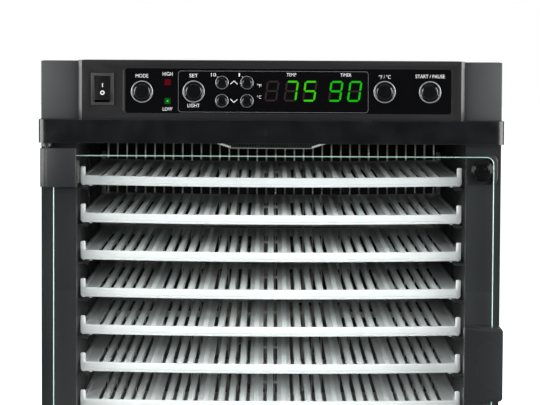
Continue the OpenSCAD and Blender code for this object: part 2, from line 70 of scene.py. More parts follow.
def addNode(tree, kind, inputs=None, **settings):
    node = tree.nodes.new(kind)
    for key, value in settings.items():
        setattr(node, key, value)
    for key, value in (inputs or {}).items():
        if isinstance(value, bpy.types.NodeSocket):
            tree.links.new(value, node.inputs[key])
        else:
            node.inputs[key].default_value = value
    return node


def addMath(tree, operation, first, second, clamp=False):
    return addNode(tree, "ShaderNodeMath", {0: first, 1: second}, operation=operation, use_clamp=clamp).outputs[0]


def objectNoise(tree, scale, detail, roughness=0.5):
    coords = addNode(tree, "ShaderNodeTexCoord")
    inputs = {"Vector": coords.outputs["Object"], "Scale": scale, "Detail": detail, "Roughness": roughness}
    return addNode(tree, "ShaderNodeTexNoise", inputs).outputs["Fac"]


def newGroup(name, inputs, outputs):
    tree = bpy.data.node_groups.new(name, "ShaderNodeTree")
    for label, kind, value in inputs:
        socket = tree.interface.new_socket(name=label, in_out="INPUT", socket_type=kind)
        socket.default_value = value
    for label, kind in outputs:
        tree.interface.new_socket(name=label, in_out="OUTPUT", socket_type=kind)
    return tree, addNode(tree, "NodeGroupInput"), addNode(tree, "NodeGroupOutput")


def finishGroup(tree, outNode, results):
    for label, socket in results.items():
        tree.links.new(socket, outNode.inputs[label])
    return tree


def makeMouldGrain():
    # fine spark-eroded texture with a slow drift of tone across the moulding; both sizes are in millimetres
    tree, inp, out = newGroup(
        "mouldGrain",
        [("Grain Size", "NodeSocketFloat", 0.5), ("Drift Size", "NodeSocketFloat", 60.0)],
        [("Height", "NodeSocketFloat"), ("Tone", "NodeSocketFloat")])
    fine = objectNoise(tree, addMath(tree, "DIVIDE", 1000.0, inp.outputs["Grain Size"]), 3.0, 0.6)
    drift = objectNoise(tree, addMath(tree, "DIVIDE", 1000.0, inp.outputs["Drift Size"]), 2.0)
    return finishGroup(tree, out, {"Height": fine, "Tone": drift})


def makeEdgeWearAndSheen():
    # slightly paler corners, partly rubbed wear and partly a painted edge highlight: where the true normal and a
    # rounded one part
    tree, inp, out = newGroup(
        "edgeWear",
        [("Reach", "NodeSocketFloat", 0.0008), ("Amount", "NodeSocketFloat", 0.5)],
        [("Mask", "NodeSocketFloat")])
    rounded = addNode(tree, "ShaderNodeBevel", {"Radius": inp.outputs["Reach"]}, samples=4)
    shape = addNode(tree, "ShaderNodeNewGeometry")
    agree = addNode(tree, "ShaderNodeVectorMath",
                    {0: rounded.outputs["Normal"], 1: shape.outputs["Normal"]}, operation="DOT_PRODUCT")
    edge = addNode(tree, "ShaderNodeMapRange",
                   {"Value": agree.outputs["Value"], "From Min": 0.995, "From Max": 0.85, "To Min": 0.0, "To Max": 1.0})
    wornAndSheen = addMath(tree, "MULTIPLY", edge.outputs["Result"], objectNoise(tree, 90.0, 2.0))
    return finishGroup(tree, out, {"Mask": addMath(tree, "MULTIPLY", wornAndSheen, inp.outputs["Amount"], clamp=True)})


def makeDustFilm():
    # light dust on faces that look up
    tree, inp, out = newGroup("dustFilm", [("Amount", "NodeSocketFloat", 0.3)], [("Mask", "NodeSocketFloat")])
    shape = addNode(tree, "ShaderNodeNewGeometry")
    axes = addNode(tree, "ShaderNodeSeparateXYZ", {"Vector": shape.outputs["Normal"]})
    upward = addNode(tree, "ShaderNodeMapRange", {"Value": axes.outputs["Z"], "From Min": 0.4, "From Max": 1.0})
    lying = addMath(tree, "MULTIPLY", upward.outputs["Result"], objectNoise(tree, 35.0, 5.0))
    return finishGroup(tree, out, {"Mask": addMath(tree, "MULTIPLY", lying, inp.outputs["Amount"], clamp=True)})


def makeBrushedLines():
    # fine drawn or rolled lines along one axis of the metal
    tree, inp, out = newGroup(
        "brushedLines",
        [("Stretch", "NodeSocketVector", (1.0, 1.0, 1.0))],
        [("Height", "NodeSocketFloat"), ("Tone", "NodeSocketFloat")])
    coords = addNode(tree, "ShaderNodeTexCoord")
    stretched = addNode(tree, "ShaderNodeVectorMath", {0: coords.outputs["Object"], 1: inp.outputs["Stretch"]},
                        operation="MULTIPLY")
    lines = addNode(tree, "ShaderNodeTexNoise",
                    {"Vector": stretched.outputs["Vector"], "Scale": 900.0, "Detail": 3.0, "Roughness": 0.7})
    return finishGroup(tree, out, {"Height": lines.outputs["Fac"], "Tone": objectNoise(tree, 40.0, 3.0)})


mouldGrain = makeMouldGrain()
edgeWear = makeEdgeWearAndSheen()
dustFilm = makeDustFilm()
brushedLines = makeBrushedLines()
print("shared node groups ready")


def newMaterial(name):
    material = bpy.data.materials.new(name)
    material.use_nodes = True
    material.node_tree.nodes.clear()
    shader = addNode(material.node_tree, "ShaderNodeBsdfPrincipled")
    addNode(material.node_tree, "ShaderNodeOutputMaterial", {"Surface": shader.outputs[0]})
    return material, material.node_tree, shader


def blendColour(tree, mask, first, second):
    mix = addNode(tree, "ShaderNodeMix", data_type="RGBA")
    for socket, value in ((mix.inputs[0], mask), (mix.inputs[6], first), (mix.inputs[7], second)):
        if isinstance(value, bpy.types.NodeSocket):
            tree.links.new(value, socket)
        else:
            socket.default_value = value
    return mix.outputs[2]


def rgb(colour):
    return (*colour, 1.0)


def addBump(tree, shader, height, strength, distance):
    bump = addNode(tree, "ShaderNodeBump", {"Height": height, "Strength": strength, "Distance": distance})
    tree.links.new(bump.outputs["Normal"], shader.inputs["Normal"])


def spreadRoughness(tree, shader, mask, middle, spread):
    varied = addNode(tree, "ShaderNodeMapRange", {"Value": mask, "From Min": 0.3, "From Max": 0.7,
                                                  "To Min": middle - spread, "To Max": middle + spread})
    tree.links.new(varied.outputs["Result"], shader.inputs["Roughness"])


def addShared(tree, group, **values):
    node = addNode(tree, "ShaderNodeGroup", node_tree=group)
    for label, value in values.items():
        node.inputs[label.replace("_", " ")].default_value = value
    return node


# edgeColour is the paler edge tone: rubbed wear, and also a painted edge highlight
blackPlastic = dict(grainSize=0.45, driftSize=90.0, edgeReach=0.0007, edgeAmount=0.5, dust=0.04, bump=0.25,
                    bumpDepth=0.00006, roughSpread=0.04, edgeColour=(0.12, 0.12, 0.125), specular=0.5)
dustColour = (0.45, 0.44, 0.42)


def plasticLook(name, dark, light, roughness, **changes):
    # moulded or coated surface: grain, drift of tone, rubbed edges partly painted as an edge highlight, and dust
    look = dict(blackPlastic, **changes)
    material, tree, shader = newMaterial(name)
    grain = addShared(tree, mouldGrain, Grain_Size=look["grainSize"], Drift_Size=look["driftSize"])
    wearAndSheen = addShared(tree, edgeWear, Reach=look["edgeReach"], Amount=look["edgeAmount"])
    dust = addShared(tree, dustFilm, Amount=look["dust"])
    base = blendColour(tree, grain.outputs["Tone"], rgb(dark), rgb(light))
    # paler edges: rubbed wear plus a painted edge highlight
    rubbedAndSheen = blendColour(tree, wearAndSheen.outputs["Mask"], base, rgb(look["edgeColour"]))
    dusty = blendColour(tree, dust.outputs["Mask"], rubbedAndSheen, rgb(dustColour))
    tree.links.new(dusty, shader.inputs["Base Color"])
    spreadRoughness(tree, shader, grain.outputs["Tone"], roughness, look["roughSpread"])
    addBump(tree, shader, grain.outputs["Height"], look["bump"], look["bumpDepth"])
    shader.inputs["Specular IOR Level"].default_value = look["specular"]
    return material


def metalLook(name, dark, light, roughness, bump, stretch=(1.0, 1.0, 0.05), roughSpread=0.06, metallic=1.0):
    # plated, rolled or pressed metal with fine lines and slight staining
    material, tree, shader = newMaterial(name)
    lines = addShared(tree, brushedLines, Stretch=stretch)
    tree.links.new(blendColour(tree, lines.outputs["Tone"], rgb(dark), rgb(light)), shader.inputs["Base Color"])
    spreadRoughness(tree, shader, lines.outputs["Height"], roughness, roughSpread)
    addBump(tree, shader, lines.outputs["Height"], bump, 0.00005)
    shader.inputs["Metallic"].default_value = metallic
    return material


def inkLook(name, colour, roughness=0.5):
    # silk-screened ink: dense, with a hint of the screen's unevenness
    material, tree, shader = newMaterial(name)
    thin = tuple(0.8 * part for part in colour)
    tree.links.new(blendColour(tree, objectNoise(tree, 1500.0, 2.0), rgb(thin), rgb(colour)),
                   shader.inputs["Base Color"])
    shader.inputs["Roughness"].default_value = roughness
    return material


def glowLook(name, glow, base, unevenness, strength=1.0):
    # lit or unlit segment: a tinted diffuser that is a little uneven
    material, tree, shader = newMaterial(name)
    dimmer = tuple(unevenness * part for part in glow)
    tree.links.new(blendColour(tree, objectNoise(tree, 400.0, 1.0), rgb(dimmer), rgb(glow)),
                   shader.inputs["Emission Color"])
    shader.inputs["Emission Strength"].default_value = strength
    shader.inputs["Base Color"].default_value = rgb(base)
    shader.inputs["Roughness"].default_value = 0.35
    shader.inputs["Specular IOR Level"].default_value = 0.12
    return material


caseCoat = plasticLook("caseCoat", (0.024, 0.025, 0.027), (0.034, 0.035, 0.037), 0.42,
                       grainSize=1.4, bump=0.35, bumpDepth=0.00012, dust=0.06)
headerPlastic = plasticLook("headerPlastic", (0.038, 0.041, 0.042), (0.047, 0.05, 0.051), 0.55)
fasciaPlastic = plasticLook("fasciaPlastic", (0.012, 0.012, 0.013), (0.017, 0.017, 0.018), 0.32)
bandPlastic = plasticLook("bandPlastic", (0.004, 0.0045, 0.005), (0.008, 0.009, 0.0105), 0.22,
                          driftSize=22.0, roughSpread=0.08)
framePlastic = plasticLook("framePlastic", (0.009, 0.01, 0.011), (0.013, 0.0145, 0.0155), 0.42)
capPlastic = plasticLook("capPlastic", (0.014, 0.015, 0.016), (0.019, 0.02, 0.021), 0.5)
bezelPlastic = plasticLook("bezelPlastic", (0.035, 0.037, 0.036), (0.045, 0.047, 0.046), 0.35)
handlePlastic = plasticLook("handlePlastic", (0.016, 0.017, 0.019), (0.022, 0.023, 0.026), 0.26,
                            roughSpread=0.03, bump=0.08)
linerPlastic = plasticLook("linerPlastic", (0.006, 0.006, 0.007), (0.01, 0.01, 0.011), 0.5,
                           edgeColour=(0.03, 0.03, 0.03), dust=0.02)
knobPlastic = plasticLook("knobPlastic", (0.003, 0.003, 0.0035), (0.005, 0.005, 0.0055), 0.12,
                          roughSpread=0.02, bump=0.03, specular=0.12)
rockerPlastic = plasticLook("rockerPlastic", (0.003, 0.003, 0.003), (0.005, 0.005, 0.005), 0.45,
                            specular=0.15, dust=0.0)
footRubber = plasticLook("footRubber", (0.018, 0.018, 0.018), (0.03, 0.03, 0.03), 0.75, grainSize=0.8, bump=0.4)
boardLacquer = plasticLook("boardLacquer", (0.01, 0.07, 0.035), (0.016, 0.1, 0.05), 0.35,
                           edgeColour=(0.25, 0.2, 0.1))
windowAcrylic = plasticLook("windowAcrylic", (0.0025, 0.0025, 0.003), (0.0035, 0.0035, 0.004), 0.06,
                            roughSpread=0.01, bump=0.0, dust=0.0, edgeAmount=0.2, specular=0.45)
buttonCap = plasticLook("buttonCap", (0.003, 0.003, 0.0035), (0.005, 0.005, 0.0055), 0.14,
                        roughSpread=0.02, bump=0.03, dust=0.0, specular=1.0)
trayPlastic = plasticLook("trayPlastic", (0.87, 0.9, 0.895), (0.93, 0.955, 0.95), 0.38,
                          roughSpread=0.05, grainSize=0.7, bump=0.15, edgeColour=(0.93, 0.95, 0.95), dust=0.0)
trayShader = next(node for node in trayPlastic.node_tree.nodes if node.type == "BSDF_PRINCIPLED")
trayShader.inputs["Subsurface Weight"].default_value = 0.6  # thin white moulding, slightly milky
trayShader.inputs["Subsurface Radius"].default_value = (1.0, 1.0, 0.95)
trayShader.inputs["Subsurface Scale"].default_value = 0.012
zincSteel = metalLook("zincSteel", (0.5, 0.5, 0.48), (0.68, 0.68, 0.65), 0.28, 0.2)
blackSteel = metalLook("blackSteel", (0.03, 0.03, 0.032), (0.06, 0.06, 0.062), 0.4, 0.2)
platedWire = metalLook("platedWire", (0.66, 0.62, 0.55), (0.82, 0.78, 0.7), 0.5, 0.1,
                       roughSpread=0.05, metallic=0.35)
ringMetal = metalLook("ringMetal", (0.3, 0.33, 0.34), (0.38, 0.41, 0.42), 0.4, 0.1,
                      stretch=(1.0, 1.0, 1.0), roughSpread=0.05, metallic=0.5)
fanAluminium = metalLook("fanAluminium", (0.5, 0.51, 0.53), (0.66, 0.67, 0.69), 0.35, 0.15, stretch=(1.0, 0.1, 1.0))
heaterSheath = metalLook("heaterSheath", (0.16, 0.13, 0.12), (0.34, 0.29, 0.26), 0.42, 0.3,
                         stretch=(1.0, 1.0, 1.0), roughSpread=0.08)
labelInk = inkLook("labelInk", (0.85, 0.85, 0.84))
lineInk = inkLook("lineInk", (0.16, 0.16, 0.17))
litGreen = glowLook("litGreen", (0.045, 0.68, 0.0), (0.0, 0.01, 0.0), 0.8)
litTimer = glowLook("litTimer", (0.008, 0.56, 0.004), (0.0, 0.01, 0.0), 0.8)
unlitSegment = glowLook("unlitSegment", (0.03, 0.017, 0.019), (0.004, 0.003, 0.003), 0.7)
lampRed = glowLook("lampRed", (0.13, 0.0, 0.006), (0.01, 0.0, 0.0), 0.5)
lampGreen = glowLook("lampGreen", (0.003, 0.1, 0.012), (0.0, 0.01, 0.0), 0.5)
lampGreenCore = glowLook("lampGreenCore", (0.02, 0.9, 0.06), (0.0, 0.01, 0.0), 0.9)
# painted highlight line and painted glints for the lamp lens's lower edge: they glow though no lamp
lensLine = glowLook("lensLine", (0.28, 0.28, 0.27), (0.3, 0.3, 0.3), 0.4)
lensGlint = glowLook("lensGlint", (0.75, 0.76, 0.74), (0.5, 0.5, 0.5), 0.05, strength=0.8)


def makeGlass(name, tint, roughness):
    # tempered glass that lets the lamps' shadow rays through
    material, tree, shader = newMaterial(name)
    addBump(tree, shader, objectNoise(tree, 6.0, 1.0), 0.05, 0.0002)
    haze = addNode(tree, "ShaderNodeMapRange",
                   {"Value": objectNoise(tree, 14.0, 4.0), "From Min": 0.45, "From Max": 0.75, "To Min": roughness,
                    "To Max": roughness + 0.03})
    tree.links.new(haze.outputs["Result"], shader.inputs["Roughness"])
    shader.inputs["Base Color"].default_value = rgb(tint)
    shader.inputs["Transmission Weight"].default_value = 1.0
    shader.inputs["IOR"].default_value = 1.5
    path = addNode(tree, "ShaderNodeLightPath")
    clear = addNode(tree, "ShaderNodeBsdfTransparent", {"Color": rgb(tint)})
    unseen = addMath(tree, "MAXIMUM", path.outputs["Is Shadow Ray"], path.outputs["Is Diffuse Ray"])
    mix = addNode(tree, "ShaderNodeMixShader", {0: unseen, 1: shader.outputs[0], 2: clear.outputs[0]})
    surface = next(node for node in tree.nodes if node.type == "OUTPUT_MATERIAL")
    tree.links.new(mix.outputs[0], surface.inputs["Surface"])
    return material


def makeGlassEdge():
    # ground edge, pale green, with a painted glow that stands in for the light the pane gathers
    material, tree, shader = newMaterial("glassEdge")
    grind = objectNoise(tree, 700.0, 3.0)
    tone = blendColour(tree, grind, rgb((0.2, 0.36, 0.31)), rgb((0.4, 0.58, 0.52)))
    tree.links.new(tone, shader.inputs["Base Color"])
    tree.links.new(tone, shader.inputs["Emission Color"])
    addBump(tree, shader, grind, 0.3, 0.00005)
    # painted glow: the edge emits light in place of light piped through the pane
    shader.inputs["Emission Strength"].default_value = 0.45
    shader.inputs["Roughness"].default_value = 0.3
    return material


def makeLampLens():
    # dark diffuser with fine flutes
    material, tree, shader = newMaterial("lampDiffuser")
    coords = addNode(tree, "ShaderNodeTexCoord")
    flutes = addNode(tree, "ShaderNodeTexWave",
                     {"Vector": coords.outputs["Object"], "Scale": 120.0, "Distortion": 0.5},
                     bands_direction="X").outputs["Fac"]
    tone = blendColour(tree, flutes, rgb((0.02, 0.022, 0.024)), rgb((0.06, 0.065, 0.07)))
    tree.links.new(tone, shader.inputs["Base Color"])
    addBump(tree, shader, flutes, 0.4, 0.0003)
    shader.inputs["Roughness"].default_value = 0.2
    return material


paneGlass = makeGlass("paneGlass", (0.97, 0.985, 0.98), 0.0)
glassEdge = makeGlassEdge()
lampDiffuser = makeLampLens()
print("materials ready:", len(bpy.data.materials))


def finishPiece(name, mesh, body, materials, replaced=(), smoothAngle=35.0):
    mesh.validate()
    for material in materials:
        mesh.materials.append(material)
    for polygon in mesh.polygons:
        polygon.use_smooth = True
    mesh.set_sharp_from_angle(angle=math.radians(smoothAngle))
    piece = bpy.data.objects.new(name, mesh)
    scene.collection.objects.link(piece)
    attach(piece, body)
    if replaced:
        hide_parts(*replaced)
    return piece


def meshFrom(name, verts, faces):
    mesh = bpy.data.meshes.new(name)
    mesh.from_pydata([tuple(v) for v in verts], [], faces)
    tidy = bmesh.new()
    tidy.from_mesh(mesh)
    bmesh.ops.recalc_face_normals(tidy, faces=tidy.faces)
    tidy.to_mesh(mesh)
    tidy.free()
    return mesh


def sleeveFaces(rings, count, start=0):
    # faces between rings of count points each, with both ends closed
    faces = [(s * count + k, s * count + (k + 1) % count, (s + 1) * count + (k + 1) % count, (s + 1) * count + k)
             for s in range(rings - 1) for k in range(count)]
    faces += [tuple(range(count)), tuple(reversed(range((rings - 1) * count, rings * count)))]
    return [tuple(start + k for k in face) for face in faces]


def latheMesh(name, centre, profile, steps=64):
    # profile: (depth behind the centre, radius), turned about a line along Y; it ends on the axis or closes
    verts, faces = [], []
    rings = []
    for depth, radius in profile:
        y = centre.y + depth
        if radius < 1e-7:
            rings.append([len(verts)])
            verts.append((centre.x, y, centre.z))
            continue
        rings.append(list(range(len(verts), len(verts) + steps)))
        for k in range(steps):
            turn = 2 * math.pi * k / steps
            verts.append((centre.x + radius * math.cos(turn), y, centre.z + radius * math.sin(turn)))
    closed = len(rings[0]) > 1 and len(rings[-1]) > 1
    pairs = list(zip(rings, rings[1:])) + ([(rings[-1], rings[0])] if closed else [])
    for first, second in pairs:
        for k in range(steps):
            n = (k + 1) % steps
            if len(first) == 1:
                faces.append((first[0], second[n], second[k]))
            elif len(second) == 1:
                faces.append((first[k], first[n], second[0]))
            else:
                faces.append((first[k], first[n], second[n], second[k]))
    return meshFrom(name, verts, faces)


def roundedOutline(low, high, radius, steps=8):
    # corners of an upright rectangle as arcs, anticlockwise seen from the front
    points = []
    corners = [(high[0] - radius, high[1] - radius, 0), (low[0] + radius, high[1] - radius, 90),
               (low[0] + radius, low[1] + radius, 180), (high[0] - radius, low[1] + radius, 270)]
    for x, z, start in corners:
        for k in range(steps + 1):
            turn = math.radians(start + 90 * k / steps)
            points.append((x + radius * math.cos(turn), z + radius * math.sin(turn)))
    return points


def insetOutline(points, amount):
    # moves each point of a convex, closed outline inwards
    result = []
    count = len(points)
    for k in range(count):
        before, here, after = Vector(points[k - 1]), Vector(points[k]), Vector(points[(k + 1) % count])
        along = (after - before).normalized()
        result.append(tuple(here + Vector((-along.y, along.x)) * amount))
    return result


def loftOutlines(name, sections):
    # sections: (y, outline) from front to back; all outlines have the same number of points
    verts = [(x, y, z) for y, outline in sections for x, z in outline]
    return meshFrom(name, verts, sleeveFaces(len(sections), len(sections[0][1])))


def softenedCopy(name, node, width, segments=2, sharp=35.0, smoothAngle=40.0, clamp=True):
    # the node's own shape, with its hard edges rounded
    copy = bmesh.new()
    copy.from_mesh(nodes[node].data)
    bmesh.ops.remove_doubles(copy, verts=copy.verts, dist=0.00002)
    bmesh.ops.dissolve_limit(copy, angle_limit=math.radians(0.5), verts=copy.verts, edges=copy.edges)
    hard = [edge for edge in copy.edges if edge.is_manifold and edge.calc_face_angle(0) > math.radians(sharp)]
    bmesh.ops.bevel(copy, geom=hard, offset=width, segments=segments, profile=0.5, affect="EDGES",
                    clamp_overlap=clamp)
    bmesh.ops.triangulate(copy, faces=[face for face in copy.faces if len(face.verts) > 4])
    mesh = bpy.data.meshes.new(name)
    copy.to_mesh(mesh)
    copy.free()
    return mesh


def bodyOf(node):
    return nodes[node]["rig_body"]


def dress(material, *names):
    for name in names:
        data = nodes[name].data
        data.materials.clear()
        data.materials.append(material)


print("casing")
dress(caseCoat, "left_side_panel", "right_side_panel", "top_cover", "back_panel", "base_pan")
dress(headerPlastic, "header_housing")
dress(fasciaPlastic, "control_fascia")
dress(bandPlastic, "trim_band")
dress(framePlastic, "front_frame", "magnet_pads")
dress(capPlastic, "hinge_caps")
dress(handlePlastic, "door_handle")
dress(linerPlastic, "liner_left", "liner_right", "liner_top", "liner_floor", "fan_shroud", "thermal_cutout")
dress(windowAcrylic, "display_window", "display_module")
dress(bezelPlastic, "switch_body")
dress(rockerPlastic, "switch_rocker")
dress(blackSteel, "hinge_pins")
dress(zincSteel, "hinge_clamps", "strike_plates", "case_screws", "temperature_sensor", "fan_motor")
dress(platedWire, "rear_grille")
dress(fanAluminium, "fan_rotor")
dress(heaterSheath, "heater_element")
dress(footRubber, "feet", "cord_gland")
dress(boardLacquer, "control_board", "power_board", "lamp_board")
dress(lampDiffuser, "lamp_lens", "status_leds")


def softenNode(node, name, width, slot, material, **options):
    mesh = softenedCopy(name, node, width, **options)
    return finishPiece(name, mesh, bodyOf(node), [material], [node], smoothAngle=40.0)


lensShape = dict(flatHalf=40.0, shoulder=5.0, line=0.7, glint=2.2, ripples=12, ripple=0.35)


def makeLensBead():
    # thin strip along the lens's lower front with rippled cut ends; its brightness is a painted highlight line and
    # painted glints that glow
    shape = lensShape
    low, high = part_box("lamp_lens")
    half, flat, shoulder = high.x / mm, shape["flatHalf"], shape["shoulder"]
    points = [(-half, shoulder), (-flat, 0.0), (flat, 0.0), (half, shoulder)]
    for k, name in enumerate(("lensBeadLeft", "lensBead", "lensBeadRight")):
        isLine = k == 1
        tall = shape["line"] if isLine else shape["glint"]
        steps = 1 if isLine else shape["ripples"]
        verts = []
        for step in range(steps + 1):
            share = step / steps
            x, z = (a * (1 - share) + b * share for a, b in zip(points[k], points[k + 1]))
            wave = 0.0 if isLine else shape["ripple"] * (step % 2)
            for dy, dz in ((0.3, 0.05), (-0.25 + wave, 0.05), (-0.25 - wave * 0.5, tall), (0.3, tall)):
                verts.append((x * mm, low.y + dy * mm, low.z + (z + dz) * mm))
        # painted highlight along the flat part, painted glints on the ends
        finishPiece(name, meshFrom(name, verts, sleeveFaces(steps + 1, 4)), "cabinet",
                    [lensLine if isLine else lensGlint], smoothAngle=20.0)


makeLensBead()

print("trays")
trayShape = dict(
    frontLip=4.0, lipHeight=9.0, wall=4.6, floorLow=5.0, floorHigh=7.5, sag=1.9, seat=1.5,
    rungPitch=5.2, rung=1.5, web=2.6, border=5.0, rail=1.3, cornerRadius=3.4, ridge=0.9,
    postDepth=5.0, wallDrop=9.0, wallFoot=1.4, lipSteps=24, footSide=2.6, footAt=171.7)


def lipProfile(thick, height):
    # upright section of a lip from its front face back: bead, groove, flat face and rolled top
    return [(0.5, 0.0), (0.1, 0.3), (0.0, 0.7), (0.0, 1.4), (0.4, 1.75), (0.4, 2.15), (0.05, 2.5), (0.0, 2.9),
            (0.0, height - 1.0), (0.15, height - 0.45), (0.5, height - 0.12), (1.0, height),
            (thick - 0.8, height), (thick - 0.25, height - 0.2), (thick, height - 0.7),
            (thick, 0.5), (thick - 0.4, 0.0)]


def trayColumns(half):
    # solid strips and gaps across half of the floor, from the middle out: (width, kind)
    ladders = [(6.5, "ladder"), (4.0, "slot")]
    broad = [(4.6, "strip"), (6.2, "coarse"), (4.2, "strip"), (3.8, "slot")]
    strips = [(3.2, "ladder"), (3.6, "slot"), (3.3, "strip"), (6.4, "coarse"), (3.1, "strip"), (3.6, "slot")]
    strips += (ladders * 3 + broad) * 2 + ladders * 5
    edges, kinds, x = [0.0], [], 0.0
    for width, kind in strips:
        if x + width > half - 5.0:
            break
        x += width
        edges.append(x)
        kinds.append(kind)
    edges.append(half)
    kinds.append("border")
    return edges, kinds


def trayMesh():
    shape = trayShape
    low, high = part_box("tray_06")
    half = (high.x - low.x) / 2 / mm
    depth = (high.y - low.y) / mm
    middle = (high.x + low.x) / 2 / mm
    front = low.y / mm
    inner = half - shape["wall"]
    verts, faces = [], []

    def lift(x):
        return shape["sag"] * min(1.0, abs(x) / inner) ** 2

    def addShell(shellVerts, shellFaces):
        start = len(verts)
        verts.extend(shellVerts)
        faces.extend(tuple(start + k for k in face) for face in shellFaces)

    # lips, swept along X
    reach = inner + 0.6
    xs = [-reach + 2 * reach * k / shape["lipSteps"] for k in range(shape["lipSteps"] + 1)]
    profile = lipProfile(shape["frontLip"], shape["lipHeight"])
    for y0, direction in ((front, 1), (front + depth, -1)):
        addShell([(x, y0 + direction * d, z + lift(x)) for x in xs for d, z in profile],
                 sleeveFaces(len(xs), len(profile)))

    # side walls: section in X-Z with a rounded foot, drawn along Y with softened ends
    r = shape["cornerRadius"]
    wallTop = (high.z - low.z) / mm - shape["seat"]
    foot = shape["wallFoot"]  # it stands a little above the lip's middle
    section = [(half - shape["wall"], foot + 0.9), (half - shape["wall"] + 0.5, foot + 0.1)]
    section += [(half - r + r * math.sin(a), foot + r - r * math.cos(a))
                for a in (math.radians(t) for t in range(0, 91, 15))]
    section += [(half, wallTop - 1.0), (half - 0.3, wallTop - 0.3), (half - 1.0, wallTop),
                (half - shape["wall"] + 1.0, wallTop), (half - shape["wall"] + 0.3, wallTop - 0.3),
                (half - shape["wall"], wallTop - 1.0)]
    centreX = sum(x for x, z in section) / len(section)
    centreZ = sum(z for x, z in section) / len(section)
    post, drop = shape["postDepth"], shape["wallDrop"]
    stations = [(0.0, 0.5, 0.0), (0.15, 0.2, 0.0), (0.5, 0.0, 0.0), (post, 0.0, 0.0), (post + 1.5, 0.0, drop)]
    stations += [(depth - along, shrink, lower) for along, shrink, lower in reversed(stations)]
    for side in (-1, 1):
        shellVerts = []
        for along, shrink, lower in stations:
            for x, z in section:
                z -= lower if z > wallTop - 1.5 else 0.0
                dx, dz = x - centreX, z - centreZ
                shellVerts.append((side * (x - math.copysign(min(shrink, abs(dx)), dx)), front + along,
                                   z - math.copysign(min(shrink, abs(dz)), dz)))
        addShell(shellVerts, sleeveFaces(len(stations), len(section)))

    # floor: strips, ladders and slots as one plate of filled cells
    edges, kinds = trayColumns(inner + 0.3)
    lines, cells = [0.0], []
    for right, kind in zip(edges[1:], kinds):
        left = lines[-1]
        if kind in ("ladder", "coarse") and right - left > 4.0:
            lines += [left + shape["rail"], right - shape["rail"], right]
            cells += ["solid", kind, "solid"]
        elif kind == "ladder":
            lines += [right - shape["rail"], right]
            cells += ["ladder", "solid"]
        else:
            lines.append(right)
            cells.append("solid" if kind in ("strip", "border") else kind)
    xsFloor = [-x for x in reversed(lines[1:])] + lines
    cellKinds = list(reversed(cells)) + cells
    yStart = front + shape["frontLip"] - 0.4
    yEnd = front + depth - shape["frontLip"] + 0.4
    opened = yEnd - yStart - 2 * shape["border"]
    rungs = int(opened / shape["rungPitch"])
    solidPart = shape["rung"] + shape["web"]
    gap = (opened - rungs * solidPart) / (rungs + 1)
    y = yStart + shape["border"]
    ysFloor, rowKinds = [yStart, y], ["border"]
    for k in range(rungs):
        ysFloor += [y + gap, y + gap + shape["rung"], y + gap + solidPart]
        rowKinds += ["hole", "bar" if k == rungs // 2 else "rung", "web"]
        y += gap + solidPart
    ysFloor += [yEnd - shape["border"], yEnd]
    rowKinds += ["hole", "border"]

    def filled(column, row):
        kind, rowKind = cellKinds[column], rowKinds[row]
        if kind == "solid" or rowKind == "border":
            return True
        if rowKind == "bar":
            return kind != "slot" or abs(xsFloor[column] + xsFloor[column + 1]) / 2 < 14.0
        return rowKind == "rung" and kind == "coarse" or rowKind in ("rung", "web") and kind == "ladder"

    columns, rows = len(cellKinds), len(rowKinds)
    grid = [[filled(c, r) for r in range(rows)] for c in range(columns)]
    index = {}
    shellVerts, shellFaces = [], []

    def corner(c, r, upper):
        key = (c, r, upper)
        if key not in index:
            x = xsFloor[c]
            z = (shape["floorHigh"] if upper else shape["floorLow"]) + lift(x)
            index[key] = len(shellVerts)
            shellVerts.append((x, ysFloor[r], z))
        return index[key]

    def isFilled(c, r):
        return 0 <= c < columns and 0 <= r < rows and grid[c][r]

    for c in range(columns):
        for r in range(rows):
            if not grid[c][r]:
                continue
            shellFaces.append((corner(c, r, 1), corner(c + 1, r, 1), corner(c + 1, r + 1, 1), corner(c, r + 1, 1)))
            shellFaces.append((corner(c, r, 0), corner(c, r + 1, 0), corner(c + 1, r + 1, 0), corner(c + 1, r, 0)))
            if not isFilled(c - 1, r):
                shellFaces.append((corner(c, r, 0), corner(c, r, 1), corner(c, r + 1, 1), corner(c, r + 1, 0)))
            if not isFilled(c + 1, r):
                shellFaces.append((corner(c + 1, r, 0), corner(c + 1, r + 1, 0), corner(c + 1, r + 1, 1),
                                   corner(c + 1, r, 1)))
            if not isFilled(c, r - 1):
                shellFaces.append((corner(c, r, 0), corner(c + 1, r, 0), corner(c + 1, r, 1), corner(c, r, 1)))
            if not isFilled(c, r + 1):
                shellFaces.append((corner(c, r + 1, 0), corner(c, r + 1, 1), corner(c + 1, r + 1, 1),
                                   corner(c + 1, r + 1, 0)))
    addShell(shellVerts, shellFaces)

    # each ladder's rungs stand a little above the plate
    top, ridge = shape["floorHigh"], shape["ridge"]
    for c in range(columns):
        if cellKinds[c] not in ("ladder", "coarse"):
            continue
        for r in range(rows):
            if rowKinds[r] not in ("rung", "bar"):
                continue
            x0, x1, y0, y1 = xsFloor[c] - 0.3, xsFloor[c + 1] + 0.3, ysFloor[r], ysFloor[r + 1]
            shellVerts = [(x, y, z + lift(x)) for z, inset in ((top - 0.3, 0.0), (top + ridge, 0.15))
                          for x, y in ((x0, y0 + inset), (x1, y0 + inset), (x1, y1 - inset), (x0, y1 - inset))]
            addShell(shellVerts, [(0, 3, 2, 1), (4, 5, 6, 7), (0, 1, 5, 4), (1, 2, 6, 5), (2, 3, 7, 6), (3, 0, 4, 7)])

